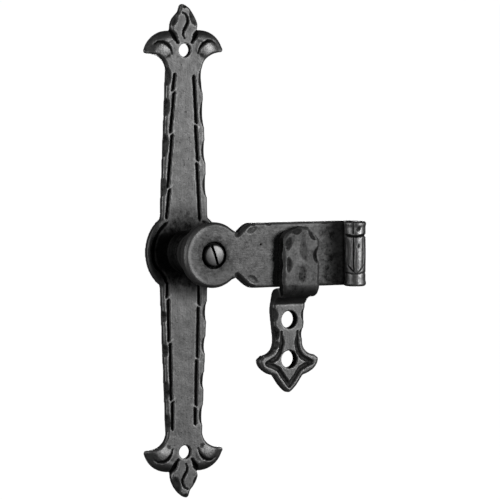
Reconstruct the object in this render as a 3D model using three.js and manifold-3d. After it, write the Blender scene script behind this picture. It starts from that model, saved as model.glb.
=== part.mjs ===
// Stair gate latch: a forged drop latch. Its arm swings on a post and drops behind the horn of a keeper.
//
// Frame: the origin is the centre of the back plate's rear face, on the pivot axis. +X runs from the pivot
// towards the keeper, +Y points into whatever the plate is fixed to, and +Z is up. Lengths are in
// millimetres. A "reach" is a distance in front of the back plate's rear face, so reach r lies at Y = -r.

import * as THREE from "three";
import { mergeVertices } from "three/addons/utils/BufferGeometryUtils.js";
import Module from "manifold-3d";

// ---- Driving dimensions ----

const PLATE_HEIGHT = 220;
const PLATE_THICKNESS = 3;
const BOSS_RADIUS = 18.7;
const PLATE_ROOT_HALF_WIDTH = 11.4; // beside the boss
const PLATE_NECK_HALF_WIDTH = 8.6; // below the finial
const NECK_Z = 81.5;
const LOBE_REACH_X = 19.6; // tip of a finial lobe
const LOBE_TIP_Z = 89.4;
const PETAL_ROOT_X = 6.6;
const PETAL_ROOT_Z = 98.2;
const PLATE_HOLE_RADIUS = 3;
const PLATE_HOLE_Z = 89.6;

const TENON_RADIUS = 5;
const FIT_GAP = 0.15; // between pieces that are clamped or riveted together
const RUNNING_GAP = 0.1; // between the arm and what it turns on

const POST_REACH = 24.5;
const POST_FOOT_RADIUS = 9.5;
const POST_WAIST_RADIUS = 8.3;
const POST_BEAD_RADIUS = 9.7;
const POST_HEAD_RADIUS = 13;
const SCREW_RADIUS = 3;
const SCREW_HOLE_DEPTH = 17;
const SCREW_LENGTH_IN_POST = 15;

const WASHER_THICKNESS = 0.9;
const WASHER_RADIUS = 12;

const ARM_BACK_REACH = 25.8;
const ARM_THICKNESS = 4.5;
const EYE_RADIUS = 14.4;
const EYE_END_X = 9.6; // where the eye's edge straightens towards the waist
const WAIST_X = 12.4;
const WAIST_TOP_Z = 9.2;
const WAIST_BOTTOM_Z = -9.9;
const SHOULDER_END_X = 19.5;
const STRAP_TOP_Z = 12.9; // at the shoulders; the strap is forged a little lower towards the grip
const STRAP_BOTTOM_Z = -15;
const STRAP_DROOP = 0.4;
const GRIP_RADIUS = 5;
const GRIP_X = 71;
const GRIP_Z = -1.5;
const GRIP_HALF_HEIGHT = 14.5;
const GRIP_RING_OFFSET = 8.2; // above the grip's middle
const GRIP_RING_DEPTH = 0.4;

const RECESS_RADIUS = 5.9;
const RECESS_DEPTH = 2.6;
const BUSH_RADIUS = 4.5;
const SPRING_WASHER_RADIUS = 5.5;
const SPRING_WASHER_THICKNESS = 0.9;
const SPRING_WASHER_SLIT = 0.8;

const SCREW_HEAD_RADIUS = 4.85;
const SCREW_HEAD_THICKNESS = 1.9;
const SCREW_DOME = 0.45;
const SCREW_SLOT_WIDTH = 1.1;
const SCREW_SLOT_DEPTH = 1.2;
const SCREW_SLOT_TILT = THREE.MathUtils.degToRad(19); // from upright, its top towards -X

const KEEPER_X = 41.7; // middle of the keeper
const KEEPER_THICKNESS = 4.5;
const KEEPER_BACK_REACH = 19;
const HORN_BACK_REACH = 31.3;
const HORN_HALF_WIDTH = 9.3;
const HORN_X = 41.1;
const HORN_TOP_Z = 11.7;
const HORN_CORNER_Z = 3;
const SHELF_Z = -15.7; // top of the shelf that the arm rests on
const SHELF_BEND = 11.5; // radius of the back of the bend from foot to shelf
const SHELF_UNDERSIDE_Z = -20;
const FOOT_CREASE_Z = -23.4; // where the foot's front face ends and the bend begins
const HORN_BEND = 6.2;
const SLOT_CORNER = 0.8;
const KEEPER_TIP_Z = -63;
const KEEPER_HOLE_RADIUS = 3.9;
const KEEPER_HOLE_ZS = [-30.5, -48.2];

const CURVE_STEPS = 7;
const ROUND_STEPS = 48;
const MERGE_DISTANCE = 1e-4;

const wasm = await Module();
wasm.setup();

// ---- Solids ----

/** A closed geometry as a solid that can be cut and joined. */
function solidOf(geometry) {
  const bare = geometry.clone();
  bare.deleteAttribute("normal");
  bare.deleteAttribute("uv");
  const merged = mergeVertices(bare, MERGE_DISTANCE);
  return new wasm.Manifold(
    new wasm.Mesh({
      numProp: 3,
      vertProperties: merged.attributes.position.array,
      triVerts: new Uint32Array(merged.index.array),
    }),
  );
}

/** A solid as a three.js geometry with flat-shaded normals. */
function geometryOf(solid) {
  const mesh = solid.getMesh();
  const geometry = new THREE.BufferGeometry();
  geometry.setAttribute("position", new THREE.BufferAttribute(mesh.vertProperties, 3));
  geometry.setIndex(new THREE.BufferAttribute(mesh.triVerts, 1));
  const flat = geometry.toNonIndexed();
  flat.computeVertexNormals();
  return flat;
}

/** An outline in X and Z, made solid from one reach to a further one. */
function slab(shape, nearReach, farReach) {
  const geometry = new THREE.ExtrudeGeometry(shape, {
    depth: farReach - nearReach,
    bevelEnabled: false,
    curveSegments: CURVE_STEPS,
  });
  geometry.rotateX(Math.PI / 2);
  geometry.translate(0, -nearReach, 0);
  return geometry;
}

/** A turned piece on the pivot axis, from a profile of [radius, reach] points. */
function turned(profile) {
  const points = profile.map(([radius, reach]) => new THREE.Vector2(radius, reach));
  const geometry = new THREE.LatheGeometry(points, ROUND_STEPS);
  geometry.rotateX(Math.PI);
  return geometry;
}

/** A ring on the pivot axis, between two radii and two reaches. */
function ring(innerRadius, outerRadius, nearReach, farReach) {
  return turned([
    [innerRadius, nearReach],
    [outerRadius, nearReach],
    [outerRadius, farReach],
    [innerRadius, farReach],
    [innerRadius, nearReach],
  ]);
}

/** A round bar along Y at (x, z), between two reaches. */
function crossBar(radius, x, z, nearReach, farReach) {
  const length = farReach - nearReach;
  const geometry = new THREE.CylinderGeometry(radius, radius, length, ROUND_STEPS / 2);
  geometry.translate(x, -nearReach - length / 2, z);
  return geometry;
}

// ---- Back plate ----

/** Draws half of the back plate's edge, from the boss round one finial and back. turn is 1 or -1. */
function drawPlateHalf(shape, turn, rootZ) {
  const to = (x, z) => shape.lineTo(turn * x, turn * z);
  const curve = (...values) => shape.bezierCurveTo(...values.map((value) => turn * value));
  const top = PLATE_HEIGHT / 2;
  to(PLATE_NECK_HALF_WIDTH, NECK_Z);
  curve(9.6, 86.4, 13.5, 88.5, LOBE_REACH_X - 0.7, LOBE_TIP_Z - 0.9);
  to(LOBE_REACH_X, LOBE_TIP_Z);
  curve(17.8, 95.5, 12.5, 98.6, PETAL_ROOT_X, PETAL_ROOT_Z);
  curve(6.9, 102.5, 4.4, 107.6, -0.6, top);
  curve(-2.4, 109.6, -1.6, 107.4, -3.1, 106);
  curve(-5.2, 104.3, -6.8, 102.2, -PETAL_ROOT_X, PETAL_ROOT_Z);
  curve(-12.5, 98.6, -17.8, 95.5, -LOBE_REACH_X, LOBE_TIP_Z);
  to(-LOBE_REACH_X + 0.7, LOBE_TIP_Z - 0.9);
  curve(-13.5, 88.5, -9.6, 86.4, -PLATE_NECK_HALF_WIDTH, NECK_Z);
  to(-PLATE_ROOT_HALF_WIDTH, rootZ);
}

function backPlate() {
  const rootZ = Math.sqrt(BOSS_RADIUS ** 2 - PLATE_ROOT_HALF_WIDTH ** 2);
  const rootAngle = Math.atan2(rootZ, PLATE_ROOT_HALF_WIDTH);
  const shape = new THREE.Shape();
  shape.moveTo(PLATE_ROOT_HALF_WIDTH, rootZ);
  drawPlateHalf(shape, 1, rootZ);
  shape.absarc(0, 0, BOSS_RADIUS, Math.PI - rootAngle, Math.PI + rootAngle, false);
  drawPlateHalf(shape, -1, rootZ);
  shape.absarc(0, 0, BOSS_RADIUS, -rootAngle, rootAngle, false);
  let plate = solidOf(slab(shape, 0, PLATE_THICKNESS));
  for (const z of [PLATE_HOLE_Z, -PLATE_HOLE_Z]) {
    plate = plate.subtract(solidOf(crossBar(PLATE_HOLE_RADIUS, 0, z, -1, PLATE_THICKNESS + 1)));
  }
  const tenonHole = crossBar(TENON_RADIUS + FIT_GAP, 0, 0, -1, PLATE_THICKNESS + 1);
  return geometryOf(plate.subtract(solidOf(tenonHole)));
}

// ---- Pivot ----

/** The trumpet-shaped post: a tenon through the plate, a foot, a bead and a flare up to the arm. */
function pivotPost() {
  const foot = PLATE_THICKNESS + FIT_GAP;
  const boreRadius = SCREW_RADIUS + FIT_GAP;
  return turned([
    [0, 0],
    [TENON_RADIUS, 0],
    [TENON_RADIUS, foot],
    [POST_FOOT_RADIUS, foot],
    [POST_FOOT_RADIUS, foot + 1.6],
    [POST_WAIST_RADIUS, foot + 3],
    [POST_WAIST_RADIUS, foot + 4.6],
    [POST_BEAD_RADIUS, foot + 5.4],
    [POST_BEAD_RADIUS, foot + 6.6],
    [POST_WAIST_RADIUS + 0.5, foot + 7.4],
    [POST_WAIST_RADIUS + 1.2, foot + 11],
    [POST_WAIST_RADIUS + 2.4, foot + 15],
    [POST_WAIST_RADIUS + 3.8, foot + 18.4],
    [POST_HEAD_RADIUS, foot + 20.4],
    [POST_HEAD_RADIUS, POST_REACH],
    [boreRadius, POST_REACH],
    [boreRadius, POST_REACH - SCREW_HOLE_DEPTH],
    [0, POST_REACH - SCREW_HOLE_DEPTH],
  ]);
}

const THRUST_WASHER_REACH = POST_REACH + FIT_GAP;
const RECESS_REACH = ARM_BACK_REACH + ARM_THICKNESS - RECESS_DEPTH;
const BUSH_END_REACH = RECESS_REACH + RUNNING_GAP;
const SPRING_WASHER_REACH = BUSH_END_REACH + FIT_GAP;
const SCREW_HEAD_REACH = SPRING_WASHER_REACH + SPRING_WASHER_THICKNESS + FIT_GAP;

/** The flat washer between the post and the arm. */
function thrustWasher() {
  const innerRadius = BUSH_RADIUS + FIT_GAP;
  return ring(innerRadius, WASHER_RADIUS, THRUST_WASHER_REACH, THRUST_WASHER_REACH + WASHER_THICKNESS);
}

/** The sleeve that the screw clamps to the post, a little longer than the arm's web, so the arm turns. */
function pivotBush() {
  return ring(SCREW_RADIUS + RUNNING_GAP, BUSH_RADIUS, POST_REACH + FIT_GAP, BUSH_END_REACH);
}

/** The split washer under the screw's head, down in the arm's recess. */
function springWasher() {
  const farReach = SPRING_WASHER_REACH + SPRING_WASHER_THICKNESS;
  const washer = ring(SCREW_RADIUS + 0.25, SPRING_WASHER_RADIUS, SPRING_WASHER_REACH, farReach);
  const slit = new THREE.BoxGeometry(SPRING_WASHER_SLIT, 2 * SPRING_WASHER_THICKNESS, SPRING_WASHER_RADIUS);
  slit.translate(0, -(SPRING_WASHER_REACH + farReach) / 2, -SPRING_WASHER_RADIUS * 0.8);
  return geometryOf(solidOf(washer).subtract(solidOf(slit)));
}

/** The slotted screw: a low domed head on a plain shank that ends in the post. */
function pivotScrew() {
  const rim = SCREW_HEAD_REACH + SCREW_HEAD_THICKNESS;
  const end = POST_REACH - SCREW_LENGTH_IN_POST;
  const body = turned([
    [0, end],
    [SCREW_RADIUS - 0.6, end],
    [SCREW_RADIUS, end + 0.6],
    [SCREW_RADIUS, SCREW_HEAD_REACH],
    [SCREW_HEAD_RADIUS, SCREW_HEAD_REACH],
    [SCREW_HEAD_RADIUS, rim - 0.3],
    [SCREW_HEAD_RADIUS - 0.4, rim],
    [SCREW_HEAD_RADIUS * 0.6, rim + SCREW_DOME * 0.65],
    [0, rim + SCREW_DOME],
  ]);
  const slot = new THREE.BoxGeometry(SCREW_SLOT_WIDTH, 2 * SCREW_SLOT_DEPTH, 3 * SCREW_HEAD_RADIUS);
  slot.rotateY(-SCREW_SLOT_TILT);
  slot.translate(0, -(rim + SCREW_DOME), 0);
  return geometryOf(solidOf(body).subtract(solidOf(slot)));
}

// ---- Latch arm ----

/** The arm's edge: a round eye, a notched waist, rounded shoulders and a wide strap. */
function armOutline() {
  const eyeAngle = Math.acos(EYE_END_X / EYE_RADIUS);
  const shape = new THREE.Shape();
  shape.moveTo(WAIST_X, WAIST_TOP_Z);
  shape.absarc(0, 0, EYE_RADIUS, eyeAngle, 2 * Math.PI - eyeAngle, false);
  shape.lineTo(WAIST_X, WAIST_BOTTOM_Z);
  shape.bezierCurveTo(14.6, -13, 16.5, STRAP_BOTTOM_Z, SHOULDER_END_X, STRAP_BOTTOM_Z);
  shape.lineTo(GRIP_X, STRAP_BOTTOM_Z - STRAP_DROOP);
  shape.lineTo(GRIP_X, STRAP_TOP_Z - STRAP_DROOP);
  shape.lineTo(SHOULDER_END_X, STRAP_TOP_Z);
  shape.bezierCurveTo(16.5, STRAP_TOP_Z, 14.6, 11.6, WAIST_X, WAIST_TOP_Z);
  return shape;
}

/** The rolled end of the strap: an upright barrel with a lip at each end and a ring cut near its top. */
function grip() {
  const lip = GRIP_RADIUS - 0.5;
  const groove = GRIP_RADIUS - GRIP_RING_DEPTH;
  const profile = [
    [0, -GRIP_HALF_HEIGHT],
    [lip, -GRIP_HALF_HEIGHT],
    [GRIP_RADIUS, -GRIP_HALF_HEIGHT + 0.6],
    [GRIP_RADIUS, GRIP_RING_OFFSET - 0.5],
    [groove, GRIP_RING_OFFSET],
    [GRIP_RADIUS, GRIP_RING_OFFSET + 0.5],
    [GRIP_RADIUS, GRIP_HALF_HEIGHT - 0.6],
    [lip, GRIP_HALF_HEIGHT],
    [0, GRIP_HALF_HEIGHT],
  ];
  const points = profile.map(([radius, z]) => new THREE.Vector2(radius, z));
  const geometry = new THREE.LatheGeometry(points, ROUND_STEPS);
  geometry.rotateX(Math.PI / 2);
  geometry.translate(GRIP_X, -(ARM_BACK_REACH + GRIP_RADIUS), GRIP_Z);
  return geometry;
}

function latchArm() {
  const frontReach = ARM_BACK_REACH + ARM_THICKNESS;
  const strap = solidOf(slab(armOutline(), ARM_BACK_REACH, frontReach));
  const recess = solidOf(crossBar(RECESS_RADIUS, 0, 0, RECESS_REACH, frontReach + 1));
  const bore = solidOf(crossBar(BUSH_RADIUS + RUNNING_GAP, 0, 0, ARM_BACK_REACH - 1, frontReach));
  return geometryOf(strap.add(solidOf(grip())).subtract(recess).subtract(bore));
}

// ---- Keeper ----

/** The keeper from its side, in Y and Z: a flat foot, an S-bend forward to the shelf, and the horn. */
function keeperSide() {
  const back = -KEEPER_BACK_REACH;
  const front = back - KEEPER_THICKNESS;
  const hornBack = -HORN_BACK_REACH;
  const hornFront = hornBack - KEEPER_THICKNESS;
  const quarter = Math.PI / 2;
  const bendY = back - SHELF_BEND;
  const hornBendY = hornFront + HORN_BEND;
  const slotZ = SHELF_Z + SLOT_CORNER;
  const shape = new THREE.Shape();
  shape.moveTo(back, KEEPER_TIP_Z - 1);
  shape.lineTo(back, SHELF_Z - SHELF_BEND);
  shape.absarc(bendY, SHELF_Z - SHELF_BEND, SHELF_BEND, 0, quarter, false);
  shape.absarc(hornBack + SLOT_CORNER, slotZ, SLOT_CORNER, -quarter, -2 * quarter, true);
  shape.lineTo(hornBack, HORN_TOP_Z + 1);
  shape.lineTo(hornFront, HORN_TOP_Z + 1);
  shape.absarc(hornBendY, SHELF_UNDERSIDE_Z + HORN_BEND, HORN_BEND, 2 * quarter, 3 * quarter, false);
  const riseY = front - 1.5;
  shape.bezierCurveTo(front - 3, SHELF_UNDERSIDE_Z, riseY, FOOT_CREASE_Z + 1.9, front, FOOT_CREASE_Z);
  shape.lineTo(front, KEEPER_TIP_Z - 1);
  return shape;
}

/** One edge of the keeper, from the point at its bottom up to the middle of the horn's top. */
function keeperEdge(side) {
  const path = new THREE.Path();
  const x = (offset) => KEEPER_X + side * offset;
  const hornX = HORN_X + side * HORN_HALF_WIDTH;
  path.moveTo(KEEPER_X, KEEPER_TIP_Z);
  path.bezierCurveTo(x(3.4), -61.2, x(5.4), -57.2, x(7), -55.3);
  path.bezierCurveTo(x(11.5), -54.1, x(14.7), -51.6, x(14.7), -48.2);
  path.lineTo(x(12.7), -46.6);
  path.bezierCurveTo(x(8.4), -46.2, x(6.5), -43.6, x(6.5), -39.4);
  path.bezierCurveTo(x(6.5), -35.5, x(7.8), -33.5, x(7.9), -23.4);
  path.bezierCurveTo(x(8), -19, hornX, -18, hornX, -14);
  path.lineTo(hornX, HORN_CORNER_Z);
  const crownX = HORN_X + side * 5.2;
  path.bezierCurveTo(hornX, 8.5, crownX, HORN_TOP_Z, HORN_X, HORN_TOP_Z);
  return path.getPoints(CURVE_STEPS);
}

function keeper() {
  const right = keeperEdge(1);
  const left = keeperEdge(-1).slice(1, -1).reverse();
  const face = new THREE.Shape([...right, ...left]);
  const farReach = HORN_BACK_REACH + KEEPER_THICKNESS;
  const plan = solidOf(slab(face, KEEPER_BACK_REACH - 1, farReach + 1));

  const strip = new THREE.ExtrudeGeometry(keeperSide(), {
    depth: 40,
    bevelEnabled: false,
    curveSegments: CURVE_STEPS,
  });
  const sideways = new THREE.Matrix4().makeBasis(
    new THREE.Vector3(0, 1, 0),
    new THREE.Vector3(0, 0, 1),
    new THREE.Vector3(1, 0, 0),
  );
  strip.applyMatrix4(sideways);
  strip.translate(KEEPER_X - 20, 0, 0);

  let solid = solidOf(strip).intersect(plan);
  for (const z of KEEPER_HOLE_ZS) {
    const hole = crossBar(KEEPER_HOLE_RADIUS, KEEPER_X, z, KEEPER_BACK_REACH - 1, farReach);
    solid = solid.subtract(solidOf(hole));
  }
  return geometryOf(solid);
}

// ---- Assembly ----

const IRON = { color: 0x4a4a4c, roughness: 0.5, metalness: 0.85 };
const STEEL = { color: 0x6c6c6e, roughness: 0.4, metalness: 0.9 };

const group = new THREE.Group();

function addPiece(name, geometry, finish) {
  const mesh = new THREE.Mesh(geometry, new THREE.MeshStandardMaterial(finish));
  mesh.name = name;
  group.add(mesh);
}

addPiece("back_plate", backPlate(), IRON);
addPiece("pivot_post", pivotPost(), IRON);
addPiece("thrust_washer", thrustWasher(), STEEL);
addPiece("pivot_bush", pivotBush(), STEEL);
addPiece("latch_arm", latchArm(), IRON);
addPiece("spring_washer", springWasher(), STEEL);
addPiece("pivot_screw", pivotScrew(), STEEL);
addPiece("keeper", keeper(), IRON);

export default group;
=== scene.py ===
"""A forged stair gate latch in blackened, hammered iron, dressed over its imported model.

Sizes are in millimetres on the pieces' own drawings and turn into metres where a mesh is made. X runs from
the pivot towards the keeper, -Y comes out of the back plate towards the hand, and Z is up.
"""

import logging
import math
from dataclasses import dataclass
from enum import Enum
from typing import Sequence

import bpy
import numpy as np
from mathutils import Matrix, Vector


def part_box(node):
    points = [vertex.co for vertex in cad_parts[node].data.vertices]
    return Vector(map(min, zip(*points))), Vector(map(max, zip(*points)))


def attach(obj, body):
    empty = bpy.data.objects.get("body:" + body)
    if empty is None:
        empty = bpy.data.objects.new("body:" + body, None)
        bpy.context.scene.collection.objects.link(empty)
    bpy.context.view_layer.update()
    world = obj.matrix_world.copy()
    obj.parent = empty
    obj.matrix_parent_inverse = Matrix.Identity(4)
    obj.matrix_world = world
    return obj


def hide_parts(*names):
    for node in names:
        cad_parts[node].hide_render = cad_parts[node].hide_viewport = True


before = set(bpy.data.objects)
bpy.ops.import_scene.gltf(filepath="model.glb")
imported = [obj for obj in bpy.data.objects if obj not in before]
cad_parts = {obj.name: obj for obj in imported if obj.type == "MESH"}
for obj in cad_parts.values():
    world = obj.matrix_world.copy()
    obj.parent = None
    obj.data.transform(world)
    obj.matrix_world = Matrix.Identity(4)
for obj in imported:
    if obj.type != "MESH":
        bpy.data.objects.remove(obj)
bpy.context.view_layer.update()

MM = 0.001
BODY_FIXED = "mounted_plate"
BODY_ARM = "swing_arm"

Point = tuple[float, float]
Path = list[Point]

log = logging.getLogger("gate_latch")


# ---------------------------------------------------------------------------------------------------------
# Drawing: outlines and paths, in millimetres
# ---------------------------------------------------------------------------------------------------------


def curve(start: Point, pull_a: Point, pull_b: Point, end: Point, steps: int = 12) -> Path:
    """Points along a cubic curve, without its first point.

    Args:
        start: Where the curve starts.
        pull_a: The handle of the start.
        pull_b: The handle of the end.
        end: Where the curve ends.
        steps: How many points to give.

    Returns:
        The points after the start, the end included.
    """
    points = []
    for k in range(1, steps + 1):
        t = k / steps
        s = 1 - t
        weights = (s**3, 3 * s * s * t, 3 * s * t * t, t**3)
        corners = (start, pull_a, pull_b, end)
        points.append(tuple(sum(w * c[i] for w, c in zip(weights, corners)) for i in (0, 1)))
    return points


def held(values: np.ndarray | float) -> np.ndarray:
    """Values held between 0 and 1."""
    return np.clip(values, 0, 1)


def arc(centre: Point, radius: float, start: float, end: float, steps: int = 24) -> Path:
    """Points on a circular arc, both ends included, with angles in degrees."""
    angles = [math.radians(start + (end - start) * k / steps) for k in range(steps + 1)]
    return [(centre[0] + radius * math.cos(a), centre[1] + radius * math.sin(a)) for a in angles]


def flipped(path: Path) -> Path:
    """The path mirrored left to right and run the other way round."""
    return [(-x, z) for x, z in reversed(path)]


def half_turned(path: Path) -> Path:
    """The path turned upside down about the middle."""
    return [(-x, -z) for x, z in path]


def moved(path: Path, dx: float, dz: float = 0.0) -> Path:
    """The path moved by dx and dz."""
    return [(x + dx, z + dz) for x, z in path]


def grown(path: Path, margin: float) -> Path:
    """A closed, anticlockwise outline with every corner moved outwards by a margin."""
    corners = [c for k, c in enumerate(path) if math.dist(c, path[k - 1]) > 1e-6]
    result = []
    for k, (x, z) in enumerate(corners):
        (ax, az), (bx, bz) = corners[k - 1], corners[(k + 1) % len(corners)]
        dx, dz = bx - ax, bz - az
        size = math.hypot(dx, dz) or 1.0
        result.append((x + margin * dz / size, z - margin * dx / size))
    return result


def distance_to(
    x: np.ndarray, z: np.ndarray, path: Path, closed: bool = False
) -> tuple[np.ndarray, np.ndarray]:
    """How far each point lies from a path.

    Args:
        x: The points' places across, in millimetres.
        z: The points' heights, in millimetres.
        path: The corners of the path.
        closed: Whether the last corner joins the first.

    Returns:
        The distances, and how far along the path the nearest spot is, from 0 to 1.
    """
    ends = path[1:] + path[:1] if closed else path[1:]
    starts = path if closed else path[:-1]
    lengths = [math.dist(a, b) for a, b in zip(starts, ends)]
    whole = sum(lengths) or 1.0
    best = np.full(len(x), 1e9)
    along = np.zeros(len(x))
    run = 0.0
    for (ax, az), (bx, bz), length in zip(starts, ends, lengths):
        if length < 1e-9:
            continue
        ux, uz = (bx - ax) / length, (bz - az) / length
        t = np.clip((x - ax) * ux + (z - az) * uz, 0, length)
        d = np.hypot(x - ax - t * ux, z - az - t * uz)
        nearer = d < best
        best[nearer] = d[nearer]
        along[nearer] = (run + t[nearer]) / whole
        run += length
    return best, along


# ---------------------------------------------------------------------------------------------------------
# The bench: modelling operators, one small step each
# ---------------------------------------------------------------------------------------------------------


def take(*objects: bpy.types.Object) -> bpy.types.Object:
    """Selects only these objects and makes the first one active."""
    bpy.ops.object.select_all(action="DESELECT")
    for obj in objects:
        obj.select_set(True)
    bpy.context.view_layer.objects.active = objects[0]
    return objects[0]


def loop(name: str, corners: Sequence[tuple[float, float, float]]) -> bpy.types.Object:
    """A closed loop of edges through these corners, in millimetres, left in edit mode and all selected."""
    bpy.ops.object.select_all(action="DESELECT")
    bpy.ops.mesh.primitive_circle_add(vertices=len(corners), radius=1.0, fill_type="NOTHING")
    piece = bpy.context.object
    piece.name = name
    for vertex, (x, y, z) in zip(piece.data.vertices, corners):
        vertex.co = (x * MM, y * MM, z * MM)
    bpy.ops.object.mode_set(mode="EDIT")
    bpy.ops.mesh.select_all(action="SELECT")
    return piece


def slab(name: str, outline: Path, near: float, far: float) -> bpy.types.Object:
    """A plate cut to an outline, from one distance in front of the mounting plane to a further one.

    Args:
        name: The piece's name.
        outline: The edge in X and Z, closed on itself.
        near: The distance of the rear face, in millimetres.
        far: The distance of the front face, in millimetres.

    Returns:
        The plate as a closed mesh.
    """
    piece = loop(name, [(x, -near, z) for x, z in outline])
    bpy.ops.mesh.edge_face_add()
    bpy.ops.mesh.extrude_region_move(TRANSFORM_OT_translate={"value": (0, (near - far) * MM, 0)})
    close_up(merge=0.0)
    return piece


def close_up(merge: float) -> None:
    """Ends an edit: merges doubles within merge millimetres, turns every face out and leaves edit mode."""
    bpy.ops.mesh.select_all(action="SELECT")
    if merge > 0:
        bpy.ops.mesh.remove_doubles(threshold=merge * MM)
    bpy.ops.mesh.normals_make_consistent(inside=False)
    bpy.ops.object.mode_set(mode="OBJECT")


def cross_bar(
    radius: float, x: float, z: float, near: float, far: float, sides: int = 64
) -> bpy.types.Object:
    """A round bar that runs front to back at (x, z), used as a drill."""
    bpy.ops.object.select_all(action="DESELECT")
    bpy.ops.mesh.primitive_cylinder_add(
        vertices=sides,
        radius=radius * MM,
        depth=(far - near) * MM,
        location=(x * MM, -(near + far) / 2 * MM, z * MM),
        rotation=(math.pi / 2, 0, 0),
    )
    bpy.ops.object.transform_apply(location=True, rotation=True, scale=True)
    return bpy.context.object


def block(size: Sequence[float], place: Sequence[float], turn: Sequence[float]) -> bpy.types.Object:
    """A cutting block of a size, at a place and turned; sizes in millimetres and turns in degrees."""
    bpy.ops.object.select_all(action="DESELECT")
    bpy.ops.mesh.primitive_cube_add(
        size=1.0,
        location=[v * MM for v in place],
        rotation=[math.radians(v) for v in turn],
        scale=[v * MM for v in size],
    )
    bpy.ops.object.transform_apply(location=True, rotation=True, scale=True)
    return bpy.context.object


def turned(name: str, profile: Path, sides: int, upright: bool = False) -> bpy.types.Object:
    """A turned piece, spun from its profile.

    Args:
        name: The piece's name.
        profile: Corners as (radius, distance along the axis), closed on itself or ending on the axis.
        sides: How many steps the spin takes.
        upright: Whether the axis is +Z; it is -Y, the pivot's axis, otherwise.

    Returns:
        The turned piece as a closed mesh.
    """
    piece = loop(name, [(radius, 0, along) if upright else (radius, -along, 0) for radius, along in profile])
    axis = (0, 0, 1) if upright else (0, -1, 0)
    bpy.ops.mesh.spin(steps=sides, angle=2 * math.pi, center=(0, 0, 0), axis=axis)
    close_up(merge=0.002)
    return piece


def carve(target: bpy.types.Object, tool: bpy.types.Object, operation: str = "DIFFERENCE") -> None:
    """Cuts, joins or trims the target with a tool, and throws the tool away."""
    take(target)
    modifier = target.modifiers.new("carve", "BOOLEAN")
    modifier.operation = operation
    modifier.solver = "EXACT"
    modifier.object = tool
    bpy.ops.object.modifier_apply(modifier=modifier.name)
    bpy.data.objects.remove(tool)


def knit(piece: bpy.types.Object, grain: float, rounding: int) -> None:
    """Gives a piece an even skin of small faces and softens its edges.

    Args:
        piece: The blank.
        grain: The size of a face, in millimetres.
        rounding: How many times the skin is smoothed.
    """
    take(piece)
    modifier = piece.modifiers.new("skin", "REMESH")
    modifier.mode = "VOXEL"
    modifier.voxel_size = grain * MM
    modifier.use_smooth_shade = True
    bpy.ops.object.modifier_apply(modifier=modifier.name)
    modifier = piece.modifiers.new("ease", "SMOOTH")
    modifier.factor = 0.5
    modifier.iterations = rounding
    bpy.ops.object.modifier_apply(modifier=modifier.name)


def hammer(piece: bpy.types.Object, size: float, strength: float) -> None:
    """Beats a piece slightly uneven: lumps of a size, in and out by half a strength, in millimetres."""
    take(piece)
    texture = bpy.data.textures.new(piece.name + "_beat", "CLOUDS")
    texture.noise_scale = size * MM
    texture.noise_depth = 1
    modifier = piece.modifiers.new("beat", "DISPLACE")
    modifier.texture = texture
    modifier.texture_coords = "LOCAL"
    modifier.mid_level = 0.5
    modifier.strength = strength * MM
    bpy.ops.object.modifier_apply(modifier=modifier.name)


def seat(piece: bpy.types.Object, reach: float) -> None:
    """Files a piece's rear level, a reach in millimetres in front of the mounting plane."""
    points = read_points(piece)
    points[:, 1] = np.minimum(points[:, 1], -reach)
    write_points(piece, points)


def shade(piece: bpy.types.Object, angle: float | None = None) -> None:
    """Shades a piece smooth, all over or only across edges under an angle in degrees."""
    take(piece)
    if angle is None:
        bpy.ops.object.shade_smooth()
    else:
        bpy.ops.object.shade_smooth_by_angle(angle=math.radians(angle))


# ---------------------------------------------------------------------------------------------------------
# Relief: chased grooves, chisel facets and domes, worked into a knitted skin
# ---------------------------------------------------------------------------------------------------------


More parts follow.
